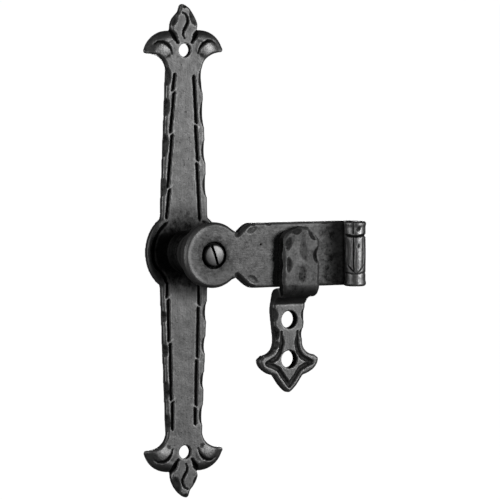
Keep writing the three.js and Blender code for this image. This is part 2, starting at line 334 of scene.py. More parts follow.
class Relief:
    """How deep each point of a face is worked, seen square on; positive is into the metal."""

    def __init__(self, x: np.ndarray, z: np.ndarray) -> None:
        """Starts with a flat face over points at x and z, in millimetres."""
        self.x = x
        self.z = z
        self.depth = np.zeros(len(x))
        self.soot_and_shade = np.zeros(len(x))
        self.shine = np.zeros(len(x))

    def blacken(self, soot_and_shade: np.ndarray | float) -> None:
        """Leaves at least this much darkness: black scale in hollows, and painted shade where a caller asks
        for it.
        """
        self.soot_and_shade = np.maximum(self.soot_and_shade, soot_and_shade)

    def brighten(self, shine: np.ndarray | float) -> None:
        """Leaves at least this much brightening: rubbed shine, and painted highlights where a caller asks
        for them.
        """
        self.shine = np.maximum(self.shine, shine)

    def groove(
        self, path: Path, width: float, depth: float, taper: float = 0.15, soot_and_shade: float = 1.0
    ) -> None:
        """Cuts a round-bottomed groove along a path.

        Args:
            path: The groove's middle.
            width: Its width at the surface.
            depth: Its depth.
            taper: The share of its length over which each end thins out.
            soot_and_shade: How much scale stays in it, from 0 to 1.
        """
        d, along = distance_to(self.x, self.z, path)
        thin = np.clip(np.minimum(along, 1 - along) / max(taper, 1e-6), 0.25, 1) ** 0.5
        inside = held(1 - (d / (width / 2 * thin)) ** 2)
        self.depth += depth * thin * inside**0.8
        self.blacken(soot_and_shade * held(inside * 1.6))

    def crest(self, start: Point, end: Point, width: float) -> None:
        """Leaves a thin, rubbed crest of metal standing across whatever has been cut there."""
        d, _ = distance_to(self.x, self.z, [start, end])
        cut = held(d / (width / 2)) ** 2
        self.depth *= cut
        self.soot_and_shade *= cut
        self.brighten(0.3 * (1 - cut))

    def darken_by_distance(self, distance: np.ndarray, near: float, far: float, strength: float) -> None:
        """Darkens by a distance: full up to a near distance, gone by a far one."""
        share = held((far - distance) / (far - near))
        self.blacken(strength * share * share * (3 - 2 * share))

    def facet(
        self, centre: Point, length: float, width: float, lean: float, depth: float, soot_and_shade: float = 0.55
    ) -> None:
        """Presses an almond-shaped hollow.

        Args:
            centre: The hollow's middle.
            length: Its longer way.
            width: Its shorter way.
            lean: The turn of its longer way from upright, in degrees, its top towards +X.
            depth: Its depth in the middle.
            soot_and_shade: How much scale stays in it, from 0 to 1.
        """
        turn = math.radians(lean)
        dx, dz = self.x - centre[0], self.z - centre[1]
        u = dx * math.sin(turn) + dz * math.cos(turn)
        v = dx * math.cos(turn) - dz * math.sin(turn)
        reach = held(1 - (2 * u / length) ** 2)
        inside = held(reach - (2 * np.abs(v) / width) ** 1.5)
        self.depth += depth * inside**0.8
        self.blacken(soot_and_shade * held(inside * 2.2))
        rim = held(1 - np.abs(inside - 0.02) / 0.1) * (inside > 0)
        self.brighten(0.25 * rim)

    def nick(self, distance: np.ndarray, middle: float, length: float, width: float, depth: float) -> None:
        """Chisels a slanting, almond-shaped flat off an edge.

        Args:
            distance: How far each point is from the edge; points past width aren't touched.
            middle: The height of the flat's middle.
            length: How far it runs up the edge.
            width: How far it bites in from the edge.
            depth: How much it takes off at the edge itself.
        """
        reach = held(1 - (2 * (self.z - middle) / length) ** 2) ** 0.6
        inside = held(reach - distance / width)
        self.depth += depth * inside
        self.blacken(0.62 * held(inside * 4))

    def dome(self, centre: Point, radii: Point, lean: float, height: float) -> None:
        """Raises a smooth oval cushion, its first radius turned by lean degrees from level."""
        turn = math.radians(lean)
        dx, dz = self.x - centre[0], self.z - centre[1]
        u = (dx * math.cos(turn) + dz * math.sin(turn)) / radii[0]
        v = (dz * math.cos(turn) - dx * math.sin(turn)) / radii[1]
        inside = held(1 - u * u - v * v)
        self.depth -= height * inside**1.2
        self.brighten(0.4 * height * inside)

    def fall_off(self, distance: np.ndarray, width: float, depth: float, power: float = 2.0) -> None:
        """Rolls the face down towards an edge, given how far each point is from that edge."""
        self.depth += depth * held(1 - distance / width) ** power


def read_points(piece: bpy.types.Object) -> np.ndarray:
    """A piece's points in millimetres, one row each."""
    flat = np.empty(len(piece.data.vertices) * 3, np.float32)
    piece.data.vertices.foreach_get("co", flat)
    return flat.reshape(-1, 3).astype(float) / MM


def write_points(piece: bpy.types.Object, points: np.ndarray) -> None:
    """Puts points in millimetres back on a piece."""
    piece.data.vertices.foreach_set("co", (points * MM).astype(np.float32).ravel())
    piece.data.update()


def read_normals(piece: bpy.types.Object) -> np.ndarray:
    """A piece's point normals, one row each."""
    flat = np.empty(len(piece.data.vertices) * 3, np.float32)
    piece.data.vertices.foreach_get("normal", flat)
    return flat.reshape(-1, 3).astype(float)


def mark(piece: bpy.types.Object, name: str, values: np.ndarray) -> None:
    """Stores one number a point on a piece, for its finish to read."""
    layer = piece.data.attributes.get(name) or piece.data.attributes.new(name, "FLOAT", "POINT")
    layer.data.foreach_set("value", held(values).astype(np.float32))


def read_wear_and_shade(
    piece: bpy.types.Object,
    soot_and_shade: np.ndarray | float = 0.0,
    shine: np.ndarray | float = 0.0,
    blur: int = 2,
    gain: float = 5.0,
) -> None:
    """Finds a piece's ridges, brightened as rubbed edges, and its hollows, darkened as black scale, and
    stores them with the given marks.

    Args:
        piece: The finished mesh.
        soot_and_shade: Black scale that the work left at each point, with painted shade added by the caller.
        shine: Rubbed shine that the work left at each point, with painted highlights added by the caller.
        blur: How many times the reading is spread over its neighbours.
        gain: How strongly a bend counts.
    """
    points, normals = read_points(piece), read_normals(piece)
    edges = np.empty(len(piece.data.edges) * 2, np.int32)
    piece.data.edges.foreach_get("vertices", edges)
    a, b = edges.reshape(-1, 2).T
    step = points[b] - points[a]
    step /= np.maximum(np.linalg.norm(step, axis=1, keepdims=True), 1e-6)
    count = np.bincount(a, minlength=len(points)) + np.bincount(b, minlength=len(points))
    count = np.maximum(count, 1)
    bend = np.bincount(a, (normals[a] * step).sum(1), len(points))
    bend -= np.bincount(b, (normals[b] * step).sum(1), len(points))
    bend /= count
    for _ in range(blur):
        spread = np.bincount(a, bend[b], len(points)) + np.bincount(b, bend[a], len(points))
        bend = 0.4 * bend + 0.6 * spread / count
    mark(piece, "burnish_and_highlight", np.maximum(-bend * gain, shine))
    mark(piece, "soot_and_shade", np.maximum(bend * gain, soot_and_shade))


# ---------------------------------------------------------------------------------------------------------
# Finishes
# ---------------------------------------------------------------------------------------------------------


class Socket:
    """A node's output, with arithmetic that adds Math nodes."""

    def __init__(self, tree: bpy.types.NodeTree, output: bpy.types.NodeSocket) -> None:
        """Wraps one output of a node in a tree."""
        self.tree = tree
        self.output = output

    def _math(self, operation: str, *values: "Socket | float", clamp: bool = False) -> "Socket":
        """Adds one Math node over these values."""
        node = self.tree.nodes.new("ShaderNodeMath")
        node.operation = operation
        node.use_clamp = clamp
        for k, value in enumerate(values):
            if isinstance(value, Socket):
                self.tree.links.new(value.output, node.inputs[k])
            else:
                node.inputs[k].default_value = value
        return Socket(self.tree, node.outputs[0])

    def __add__(self, other: "Socket | float") -> "Socket":
        """self + other."""
        return self._math("ADD", self, other)

    __radd__ = __add__

    def __sub__(self, other: "Socket | float") -> "Socket":
        """self - other."""
        return self._math("SUBTRACT", self, other)

    def __rsub__(self, other: float) -> "Socket":
        """other - self."""
        return self._math("SUBTRACT", other, self)

    def __mul__(self, other: "Socket | float") -> "Socket":
        """self * other."""
        return self._math("MULTIPLY", self, other)

    __rmul__ = __mul__

    def clamped(self) -> "Socket":
        """self, held between 0 and 1."""
        return self._math("ADD", self, 0.0, clamp=True)


class Shader:
    """A material's node tree, with one way to add any node."""

    def __init__(self, name: str) -> None:
        """Makes a material with a bare Principled surface."""
        self.material = bpy.data.materials.new(name)
        self.material.use_nodes = True
        self.tree = self.material.node_tree
        self.tree.nodes.clear()
        output = self.tree.nodes.new("ShaderNodeOutputMaterial")
        self.surface = self.tree.nodes.new("ShaderNodeBsdfPrincipled")
        self.tree.links.new(self.surface.outputs[0], output.inputs["Surface"])
        self.coordinates = self.node("TexCoord", out="Object")

    def node(
        self, kind: str, settings: dict | None = None, inputs: dict | None = None, out: int | str = 0
    ) -> Socket:
        """Adds a node.

        Args:
            kind: The node's type, without ShaderNode.
            settings: Its properties; the key stops holds a ramp's places and greys or colours.
            inputs: The values or links of its inputs, by name or number.
            out: Which output to give back.

        Returns:
            The chosen output.
        """
        node = self.tree.nodes.new("ShaderNode" + kind)
        for key, value in (settings or {}).items():
            if key == "stops":
                self._set_stops(node.color_ramp, value)
            else:
                setattr(node, key, value)
        for key, value in (inputs or {}).items():
            target = node.inputs[key]
            if isinstance(value, Socket):
                self.tree.links.new(value.output, target)
            else:
                target.default_value = value
        return Socket(self.tree, node.outputs[out])

    @staticmethod
    def _set_stops(ramp: bpy.types.ColorRamp, stops: Sequence[tuple[float, float]]) -> None:
        """Sets a ramp's stops, each a place and a grey."""
        while len(ramp.elements) < len(stops):
            ramp.elements.new(0.5)
        for element, (place, tone) in zip(ramp.elements, stops):
            element.position = place
            element.color = (tone, tone, tone, 1)

    def noise(self, size: float, detail: float = 3.0, roughness: float = 0.5) -> Socket:
        """Cloudy noise with lumps of a size in millimetres, from 0 to 1."""
        inputs = {"Scale": 1 / (size * MM), "Detail": detail, "Roughness": roughness}
        return self.node("TexNoise", inputs={"Vector": self.coordinates, **inputs})

    def ramp(self, value: Socket, stops: Sequence[tuple[float, float]]) -> Socket:
        """A value put through a ramp of greys."""
        return self.node("ValToRGB", {"stops": stops}, {"Fac": value})

    def mark(self, name: str) -> Socket:
        """A number stored on the piece's points."""
        return self.node("Attribute", {"attribute_name": name}, out="Fac")

    def mix(self, factor: Socket, first: object, second: object) -> Socket:
        """Two colours mixed by a factor."""
        inputs = {0: factor, 6: first, 7: second}
        return self.node("Mix", {"data_type": "RGBA"}, inputs, out=2)

    def set(self, **values: object) -> None:
        """Sets or links the surface's inputs, with _ for a space in a name."""
        for key, value in values.items():
            target = self.surface.inputs[key.replace("_", " ")]
            if isinstance(value, Socket):
                self.tree.links.new(value.output, target)
            else:
                target.default_value = value

    def bump(self, height: Socket, depth: float) -> Socket:
        """A bump whose heights of 0 to 1 stand for a depth in millimetres."""
        return self.node("Bump", inputs={"Strength": 1.0, "Distance": depth * MM, "Height": height})


def grey(value: float, warmth: float = 0.0) -> tuple[float, float, float, float]:
    """A grey as a linear colour, a little warmer or colder."""
    return (value * (1 + warmth), value, value * (1 - warmth), 1.0)


@dataclass(frozen=True)
class ForgedIron:
    """Hammered iron under black wax: graphite faces, sooty hollows and rubbed edges, with painted shade and
    painted highlights laid on from each piece's marks.
    """

    name: str = "forged_iron"
    face: float = 0.205
    # The near-black of scale, also used for painted shade.
    dark: float = 0.058
    soot_and_shade: float = 0.006
    # The grey of rubbed edges, also used for painted highlights.
    rubbed: float = 0.5
    roughness: float = 0.43
    grain_depth: float = 0.1

    def streaks(self, sh: Shader) -> Socket:
        """Fine brushed lines: upright, or level where the piece is marked so."""
        lines = []
        for squeeze in ((1.0, 1.0, 0.1), (0.1, 1.0, 1.0)):
            stretched = sh.node("VectorMath", {"operation": "MULTIPLY"}, {0: sh.coordinates, 1: squeeze})
            inputs = {"Vector": stretched, "Scale": 1 / (0.55 * MM), "Detail": 2.0, "Roughness": 0.6}
            lines.append(sh.node("TexNoise", inputs=inputs))
        level = sh.mark("level")
        upright = 1 - level
        return sh.ramp(lines[0] * upright + lines[1] * level, [(0.3, 0), (0.7, 1)])

    def make(self) -> bpy.types.Material:
        """Builds the material."""
        sh = Shader(self.name + "_finish")
        cloud = sh.ramp(sh.noise(16, 2, 0.5), [(0.35, 0), (0.65, 1)])
        blotch = sh.ramp(sh.noise(3.4, 4, 0.65), [(0.3, 0), (0.7, 1)])
        grain = sh.ramp(sh.noise(0.9, 3, 0.7), [(0.28, 0), (0.72, 1)])
        pit = sh.ramp(sh.noise(1.3, 2, 0.6), [(0.27, 1), (0.36, 0)])
        streak = self.streaks(sh)
        tone = (cloud * 0.16 + blotch * 0.24 + grain * 0.38 + streak * 0.22).clamped()
        # Mark of black scale in hollows and of painted shade.
        scale = sh.mark("soot_and_shade")
        ragged = (blotch * 0.7 + grain * 0.5 - 0.6) * scale * (1 - scale) * 4.0
        soot_and_shade = (scale + ragged).clamped()
        # Mark of rubbed edges and of painted highlights.
        rub_and_highlight = (sh.mark("burnish_and_highlight") * (blotch * 0.8 + grain * 1.0)).clamped()
        body = sh.mix(tone, grey(self.dark), grey(self.face))
        pitted = sh.mix((pit * 0.5).clamped(), body, grey(self.dark * 0.4))
        worn_and_lit = sh.mix(rub_and_highlight, pitted, grey(self.rubbed))
        colour = sh.mix(soot_and_shade, worn_and_lit, grey(self.soot_and_shade))
        rough = (self.roughness + grain * 0.08 + (1 - blotch) * 0.06 - rub_and_highlight * 0.12 + soot_and_shade * 0.3).clamped()
        height = grain * 0.5 + streak * 0.25 + (1 - pit) * 0.35
        sh.set(Base_Color=colour, Metallic=0.88, Roughness=rough, Normal=sh.bump(height, self.grain_depth))
        return sh.material


@dataclass(frozen=True)
class TurnedSteel:
    """Bright-turned steel gone dull, with fine rings about the pivot axis."""

    name: str
    face: float
    roughness: float
    ring_depth: float = 0.012
    ring_pitch: float = 1 / 6

    def make(self) -> bpy.types.Material:
        """Builds the material."""
        sh = Shader(self.name + "_finish")
        axis_free = sh.node("VectorMath", {"operation": "MULTIPLY"}, {0: sh.coordinates, 1: (1, 0, 1)})
        radius = sh.node("VectorMath", {"operation": "LENGTH"}, {0: axis_free}, out="Value")
        inputs = {"W": radius, "Scale": 1 / (self.ring_pitch * MM), "Detail": 2.0}
        rings = sh.node("TexNoise", {"noise_dimensions": "1D"}, inputs)
        cloud = sh.ramp(sh.noise(3, 3, 0.6), [(0.3, 0), (0.7, 1)])
        fine = sh.noise(0.5, 3, 0.6)
        # Mark of scale and of painted shade.
        soot_and_shade = (sh.mark("soot_and_shade") * 1.1).clamped()
        rub_and_highlight = (sh.mark("burnish_and_highlight") * (0.4 + fine)).clamped()
        body = sh.mix((cloud * 0.6 + rings * 0.4).clamped(), grey(self.face * 0.7), grey(self.face))
        worn_and_lit = sh.mix(rub_and_highlight, body, grey(min(1.0, self.face * 1.9)))
        colour = sh.mix(soot_and_shade, worn_and_lit, grey(0.015))
        rough = (self.roughness + fine * 0.12 + soot_and_shade * 0.3 - rub_and_highlight * 0.1).clamped()
        height = rings * 0.7 + fine * 0.3
        sh.set(Base_Color=colour, Metallic=0.9, Roughness=rough, Normal=sh.bump(height, self.ring_depth))
        return sh.material


class Finish(Enum):
    """The finishes of the latch, each named for its slot in the record."""

    FORGED_IRON = ForgedIron()
    SCREW_STEEL = TurnedSteel(name="screw_steel", face=0.17, roughness=0.36)
    PLAIN_STEEL = TurnedSteel(name="plain_steel", face=0.3, roughness=0.4)

    def material(self) -> bpy.types.Material:
        """The finish's material, made the first time that it is asked for."""
        if self not in MADE:
            MADE[self] = self.value.make()
        return MADE[self]


MADE: dict[Finish, bpy.types.Material] = {}


def fit(piece: bpy.types.Object, body: str, finish: Finish, *nodes: str) -> None:
    """Gives a finished piece its material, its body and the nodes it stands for.

    Args:
        piece: The finished mesh.
        body: The body that it moves with.
        finish: Its finish.
        nodes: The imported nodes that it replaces.
    """
    piece.data.materials.clear()
    piece.data.materials.append(finish.material())
    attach(piece, body)
    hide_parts(*nodes)
    log.info("%s: %d faces, rides on %s", piece.name, len(piece.data.polygons), body)


# ---------------------------------------------------------------------------------------------------------
# Back plate
# ---------------------------------------------------------------------------------------------------------


@dataclass
class BackPlate:
    """The long plate: a tapering strap with a round boss in its middle and a finial at each end."""

    height: float = 220.0
    thickness: float = 3.0
    boss_radius: float = 18.7
    root: float = 11.4
    neck: Point = (8.6, 81.5)
    lobe_tip: Point = (19.6, 89.4)
    petal_root: Point = (6.6, 98.2)
    hole_radius: float = 3.0
    hole_z: float = 89.6
    tenon_radius: float = 5.15
    grain: float = 0.36
    margin: float = 0.15

    def outline(self) -> Path:
        """The plate's edge, anticlockwise from the right of the boss."""
        root_z = math.sqrt(self.boss_radius**2 - self.root**2)
        tilt = math.degrees(math.atan2(root_z, self.root))
        half = [(self.root, root_z), *self.finial(), (-self.root, root_z)]
        left = arc((0, 0), self.boss_radius, 180 - tilt, 180 + tilt)[1:-1]
        right = arc((0, 0), self.boss_radius, -tilt, tilt)[1:-1]
        return half + left + half_turned(half) + right

    def finial(self) -> Path:
        """The upper finial's edge, from the right of the neck over the petal to the left of the neck."""
        lobe = self.lobe()
        tip = (-0.6, self.height / 2)
        waist = (-3.1, 106.0)
        petal = curve(self.petal_root, (6.9, 102.5), (4.4, 107.6), tip)
        petal += curve(tip, (-2.4, 109.6), (-1.6, 107.4), waist, 6)
        left_root = (-self.petal_root[0], self.petal_root[1])
        petal += curve(waist, (-5.2, 104.3), (-6.8, 102.2), left_root, 8)[:-1]
        return lobe + petal + flipped(lobe)

    def lobe(self) -> Path:
        """The right lobe's edge, from the neck round its tip to the petal."""
        (tip_x, tip_z) = self.lobe_tip
        under = (tip_x - 0.7, tip_z - 0.9)
        path = [self.neck]
        path += curve(self.neck, (9.6, 86.4), (13.5, 88.5), under)
        path.append(self.lobe_tip)
        path += curve(self.lobe_tip, (17.8, 95.5), (12.5, 98.6), self.petal_root)
        return path

    def chase(self, face: Relief) -> None:
        """Chases the four long lines stroke by stroke, with a thin slanting crest left between strokes."""
        lines = (
            (1, -5.55, -9.0, 0.4, (79.2, 71.4, 52.7, 28.3, 15.0)),
            (1, 4.6, 7.1, -0.22, (78.3, 56.5, 39.8, 13.6)),
            (-1, -6.2, -9.1, 0.3, (79.5, 66.6, 40.3, 20.6, 13.4)),
            (-1, 4.9, 7.1, -0.22, (77.6, 69.6, 48.2, 24.6, 13.6)),
        )
        for half, far_x, near_x, lean, stops in lines:
            places = [near_x + (far_x - near_x) * (z - 15) / 63 for z in stops]
            lean *= half
            for k in range(len(stops) - 1):
                far_end = (places[k] + lean, half * stops[k])
                near_end = (places[k + 1] - lean, half * stops[k + 1])
                face.groove([far_end, near_end], 1.7, 1.0, taper=0.03)
        for half, far_x, near_x, lean, stops in lines:
            rise = 1.3 if far_x < 0 else -1.3
            for z in stops[1:-1]:
                x = near_x + (far_x - near_x) * (z - 15) / 63
                face.crest((x - 1.6, half * z - rise), (x + 1.6, half * z + rise), 1.35)

    def ring_groove(self, face: Relief) -> None:
        """Chases the groove round the boss, which pulls in towards the post at its lower left."""
        left = arc((0, 0), 15.9, 124, 197, 20)
        left += [(-14.5, -6.2), (-12.9, -7.8), (-11.4, -9.4), (-10.1, -11.2), (-9.2, -14.2)]
        right = arc((0, 0), 15.9, 56, -56, 28)
        for path in (left, right):
            face.groove(path, 1.7, 1.0, taper=0.04)

    def cut_lobe(self, face: Relief, side: int, turn: int) -> None:
        """Works one lobe: a rolled-down border, a ridge, an arched groove and a cushion under it."""

        def at(path: Path) -> Path:
            """The path on this lobe."""
            return [(side * turn * x, turn * z) for x, z in path]

        border = at(curve(self.lobe_tip, (17.8, 95.5), (12.5, 98.6), self.petal_root))
        near_petal = held((np.abs(face.x) - 5.8) / 1.5)
        distance, _ = distance_to(face.x, face.z, border)
        on_lobe = near_petal * (turn * face.z > 86)
        face.depth += 1.5 * on_lobe * held(1 - distance / 4.4) ** 1.4
        # The rolled-down border darkened: painted shade.
        band = on_lobe * held(1 - distance / 4.2) ** 0.8 * held((18.5 - np.abs(face.x)) / 6)
        face.blacken(0.5 * band)
        (ridge, cushion) = at([(9.4, 94.9), (11.0, 89.9)])
        face.dome(ridge, (4.8, 2.3), -12 * side, 0.55)
        face.dome(cushion, (6.0, 4.6), -14 * side, 0.75)
        arch = [(15.2, 92.6), (13.4, 93.6), (11, 93.5), (8.9, 92.4), (7.3, 90.6), (6.5, 88.2)]
        face.groove(at(arch), 1.5, 1.0, taper=0.35)
        crease = [(7.1, 99.2), (6.3, 97.6), (5.1, 95.6), (3.6, 93.1)]
        face.groove(at(crease), 2.9, 1.7, taper=0.5)
        face.groove(at([(7.4, 87.6), (9.0, 86.4)]), 1.6, 0.4, taper=0.5, soot_and_shade=0.4)

    def cut_petal(self, face: Relief, turn: int) -> None:
        """Works one petal: an S-shaped vein and three flats struck off its edge."""

        def at(path: Path) -> Path:
            """The path on this petal."""
            return [(turn * x, turn * z) for x, z in path]

        vein = [(-1.3, 106.4), (0.2, 105.6), (1.3, 104.0), (1.5, 102.2), (0.5, 100.1)]
        vein += [(-0.7, 98.3), (-1.0, 96.5), (-0.3, 94.9)]
        face.groove(at(vein), 1.5, 0.8, taper=0.35)
        for middle, length, width, lean in (((-5.2, 102.9), 5.4, 2.6, 25), ((4.3, 104.4), 8.4, 4.4, -15)):
            face.facet(at([middle])[0], length, width, lean, 0.8)
        face.facet(at([(-0.2, 109.2)])[0], 2.4, 2.0, 90, 0.6)

    def work_face(self, piece: bpy.types.Object) -> tuple[np.ndarray, np.ndarray]:
        """Chases the whole front face and returns the scale, with painted shadow round the post, and the
        rubbed shine left on it.
        """
        points = read_points(piece)
        face = Relief(points[:, 0], points[:, 2])
        edge, _ = distance_to(face.x, face.z, self.outline(), closed=True)
        face.fall_off(edge, 1.0, 0.4)
        self.chase(face)
        self.ring_groove(face)
        # Painted shadow of the arm's eye: black on the boss round the post, fading out over 24 mm.
        face.darken_by_distance(np.hypot(np.maximum(np.abs(face.x) - 8, 0), face.z), 8.4, 11.0, 0.92)
        face.darken_by_distance(np.hypot(face.x * 0.9, face.z), 8.0, 24.0, 0.8)
        on_strap = np.where(np.abs(face.z) < 84, edge, 99.0)
        left = np.where(face.x < 0, on_strap, 99.0)
        right = np.where(face.x > 0, on_strap, 99.0)
        left_nicks = (
            (78, 8), (64.5, 8), (47.5, 10.5), (28.8, 8), (-28.7, 5), (-44, 6), (-61.8, 8), (-76.5, 8),
        )
        right_nicks = (
            (76, 11), (61.2, 12.5), (44.4, 10.5), (29, 10), (-27.1, 9), (-42, 8), (-57.8, 8), (-73.4, 9),
        )
        for middle, length in left_nicks:
            face.nick(left, middle, length, 1.9, 1.5)
        for middle, length in right_nicks:
            face.nick(right, middle, length, 2.2, 1.5)
        for turn in (1, -1):
            for side in (1, -1):
                self.cut_lobe(face, side, turn)
            self.cut_petal(face, turn)
        share = held(-points[:, 1] / self.thickness)
        points[:, 1] += face.depth * share
        write_points(piece, points)
        return face.soot_and_shade * share, face.shine * share

    def build(self) -> bpy.types.Object:
        """Cuts the blank, drills it, knits its skin and chases its face."""
        piece = slab("back_plate_forged", grown(self.outline(), self.margin), 0, self.thickness)
        for z in (self.hole_z, -self.hole_z):
            carve(piece, cross_bar(self.hole_radius, 0, z, -1, self.thickness + 1))
        carve(piece, cross_bar(self.tenon_radius, 0, 0, -1, self.thickness + 1))
        knit(piece, self.grain, rounding=3)
        soot_and_shade, shine = self.work_face(piece)
        hammer(piece, 7, 0.16)
        seat(piece, 0)
        shade(piece)
        read_wear_and_shade(piece, soot_and_shade, shine, gain=3.5)
        return piece

    def dress(self, piece: bpy.types.Object) -> None:
        """Finishes the plate and fits it to the frame."""
        fit(piece, BODY_FIXED, Finish.FORGED_IRON, "back_plate")


# ---------------------------------------------------------------------------------------------------------
# Latch arm
# ---------------------------------------------------------------------------------------------------------


@dataclass
class LatchArm:
    """The swinging arm: a round eye, a notched waist, a wide strap and a rolled finger grip."""

    back: float = 25.8
    thickness: float = 4.5
    eye_radius: float = 14.4
    eye_end: float = 9.6
    waist: tuple[float, float, float] = (12.4, 9.2, -9.9)
    shoulder_x: float = 19.5
    strap_top: float = 13.4
    strap_bottom: float = -15.0
    droop: float = 0.4
    grip_x: float = 71.0
    grip_z: float = -1.5
    grip_radius: float = 5.0
    grip_half: float = 14.5
    recess: tuple[float, float] = (5.9, 2.6)
    bore: float = 4.6
    grain: float = 0.3
    margin: float = 0.15

    def outline(self) -> Path:
        """The arm's edge, anticlockwise from the top of the waist."""
        x, top, _ = self.waist
        turn = math.degrees(math.acos(self.eye_end / self.eye_radius))
        path = [(x, top)]
        path += arc((0, 0), self.eye_radius, turn, 360 - turn, 60)
        lower, upper = self.shoulders()
        path += lower
        path.append((self.grip_x, self.strap_bottom - self.droop))
        path.append((self.grip_x, self.strap_top - self.droop))
        return path + upper[:0:-1]

    def shoulders(self) -> tuple[Path, Path]:
        """The lower and the upper shoulder, each from the waist out to the strap."""
        x, top, bottom = self.waist
        foot, crown = (self.shoulder_x, self.strap_bottom), (self.shoulder_x, self.strap_top)
        lower = [(x, bottom)] + curve((x, bottom), (14.2, -11.6), (17.2, -14.6), foot)
        upper = [(x, top)] + curve((x, top), (15.4, 12.3), (17.4, 13.6), crown)
        return lower, upper

    def grip(self) -> bpy.types.Object:
        """The barrel that the strap's end is rolled into, with a swelling lip at each end."""
        r, half = self.grip_radius, self.grip_half
        profile = [(0, -half), (r - 0.7, -half), (r, -half + 0.7), (r, -half + 1.6)]
        profile += [(r - 0.25, -half + 2.6), (r - 0.15, 0), (r - 0.25, half - 2.4)]
        profile += [(r, half - 1.4), (r, half - 0.7), (r - 0.7, half)]
        profile.append((0, half))
        piece = turned("grip", profile, 72, upright=True)
        take(piece)
        y = -(self.back + self.grip_radius)
        piece.location = (self.grip_x * MM, y * MM, self.grip_z * MM)
        bpy.ops.object.transform_apply(location=True, rotation=False, scale=False)
        return piece

    def work_strap(self, points: np.ndarray) -> tuple[np.ndarray, np.ndarray]:
        """Works the eye and the strap from the front; returns the scale with painted shade and shadow, and
        the shine with a painted highlight, left on them.
        """
        face = Relief(points[:, 0], points[:, 2])
        on_strap = face.x < self.grip_x - self.grip_radius - 0.3
        edge, _ = distance_to(face.x, face.z, self.outline(), closed=True)
        edge = np.where(face.x > 60, np.minimum(np.abs(face.z - 13.1), np.abs(face.z + 15.3)), edge)
        face.fall_off(edge, 1.3, 0.55)
        radius = np.hypot(face.x, face.z)
        rim = np.where(face.x < self.eye_end, self.eye_radius - radius, 99.0)
        face.fall_off(rim, 1.5, 0.5, power=1.6)
        hollow = held(1 - np.abs(radius - self.recess[0]) / 1.3)
        face.depth += 0.25 * hollow**2
        for start, shoulder in zip(((11.6, -9.3), (11.6, 8.8)), self.shoulders()):
            near, _ = distance_to(face.x, face.z, [start] + shoulder)
            face.fall_off(near, 1.5, 1.0, power=1.0)
            face.blacken(0.4 * held((1.5 - near) / 1.0))
        # Darker towards the screw.
        face.darken_by_distance(radius, 6.0, 14.5, 0.45)
        face.blacken(0.24)
        # A painted highlight on the left side of the eye's rim, over a faint brightening of the whole face.
        left_rim_highlight = held(1.4 - np.abs(radius - 12.9) / 1.7) * held(-face.x / 7)
        face.shine = np.maximum(0.1, 0.42 * left_rim_highlight)
        # Painted shadow of the grip on the strap, fading out 19 mm to its left.
        face.darken_by_distance(np.where(radius < 10, 99.0, self.grip_x - self.grip_radius - face.x), 3.0, 19.0, 0.94)
        # Darker along the strap's lower edge beyond 30 mm.
        face.darken_by_distance(np.where(face.x < 30, 99.0, np.abs(face.z + 15.3)), 0.3, 3.0, 0.25)
        face.facet((18.9, 10.8), 6.0, 3.2, 66, 0.5, soot_and_shade=0.35)
        face.facet((19.4, -11.3), 6.0, 3.2, -60, 0.5, soot_and_shade=0.35)
        face.facet((27.5, 12.9), 3.4, 1.6, 88, 0.35)
        face.facet((61.5, -14.2), 5.0, 1.8, 90, 0.4)
        face.facet((56.0, 12.7), 4.4, 1.4, 90, 0.3)
        crease = held((face.z - 0.3 - 0.02 * (face.x - 20)) / 0.5)
        face.depth += 0.14 * crease * held((face.x - 16) / 8)
        face.groove([(19, 0.1), (34, 0.4), (52, 0.9), (66, 1.2)], 1.4, 0.1, taper=0.3, soot_and_shade=0.18)
        pit = np.hypot(face.x - 23.4, face.z - 4.0)
        face.depth += 0.35 * held(1 - pit / 0.6)
        face.blacken(held(1.5 - pit / 0.45))
        # The screw's recess set black: painted shade.
        face.soot_and_shade = np.where(radius < self.recess[0] + 0.25, 1.0, face.soot_and_shade)
        share = held((-points[:, 1] - self.back) / self.thickness) * on_strap
        points[:, 1] += face.depth * share
        return face.soot_and_shade * share, face.shine * share

    def work_grip(self, points: np.ndarray) -> tuple[np.ndarray, np.ndarray]:
        """Works the barrel from all round: rings, seam, flutes, a leaf and its chevrons."""
        y = -(self.back + self.grip_radius)
        dx, dy = points[:, 0] - self.grip_x, points[:, 1] - y
        radius = np.hypot(dx, dy)
        around = np.degrees(np.arctan2(dx, -dy))
        arc_mm = np.radians(around) * self.grip_radius
        face = Relief(arc_mm, points[:, 2] - self.grip_z)
        ring_z, foot_z = 8.1, -8.6
        for z, width, depth in ((ring_z, 1.3, 0.6), (foot_z, 0.9, 0.25)):
            waver = z + 0.25 * np.sin(np.radians(around) * 3)
            inside = held(1 - (2 * (face.z - waver) / width) ** 2)
            face.depth += depth * inside
            face.blacken(inside * min(1.0, depth * 1.7))
        seam = math.radians(-38) * self.grip_radius
        vein = math.radians(17) * self.grip_radius
        seam_path = [(seam, ring_z), (seam + 0.2, 2), (seam, -5.5), (seam + 0.5, -8)]
        face.groove(seam_path, 1.1, 0.42, taper=0.1, soot_and_shade=0.8)
        face.groove([(seam, 14.5), (seam, ring_z + 1)], 1.3, 0.3, taper=0.1, soot_and_shade=0.6)
        face.groove([(vein, 7), (vein + 0.5, 0), (vein, -6)], 0.9, 0.3, taper=0.3, soot_and_shade=0.55)
        face.groove([(seam - 3.4, -4.6), (seam, -7.6), (seam + 1.2, -8.6)], 0.7, 0.35, taper=0.2)
        chevron = [(vein + 1.4, -4.4), (vein - 0.6, -6.6), (seam + 1.9, -8.4)]
        face.groove(chevron, 0.7, 0.3, taper=0.2, soot_and_shade=0.7)
        face.facet((seam - 3.0, 0.5), 13, 4.2, 0, 0.3, soot_and_shade=0.12)
        face.facet((seam + 2.4, 3.6), 2.4, 1.4, 20, 0.28)
